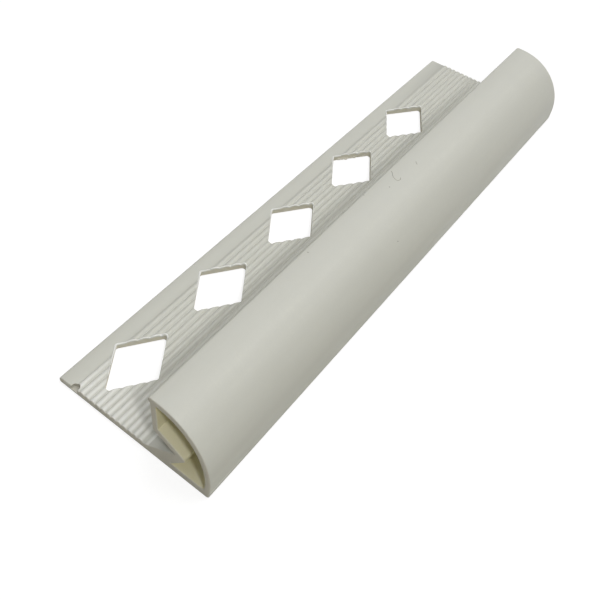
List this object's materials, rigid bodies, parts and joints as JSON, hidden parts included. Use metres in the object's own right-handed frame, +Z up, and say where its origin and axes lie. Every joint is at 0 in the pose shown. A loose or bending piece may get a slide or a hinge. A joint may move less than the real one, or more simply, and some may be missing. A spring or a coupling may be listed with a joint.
{
  "type": "tile edge trim",
  "caption": "Round-edge plastic tile trim: a hollow quarter-round bead on a thin ribbed leg with diamond perforations, covering the raw edge of tiling at an outside corner.",
  "frame": {"origin": "middle of the footprint, on the flat underside that lies on the floor", "axes": "+X along the extruded length, +Y across from the free edge of the leg to the outer face of the bead, +Z up"},
  "size_m": [0.1158, 0.028, 0.012],
  "materials": {
    "pvc": "satin off-white extruded rigid PVC"
  },
  "bodies": {
    "root": {"edge_trim": "pvc"}
  },
  "joints": []
}
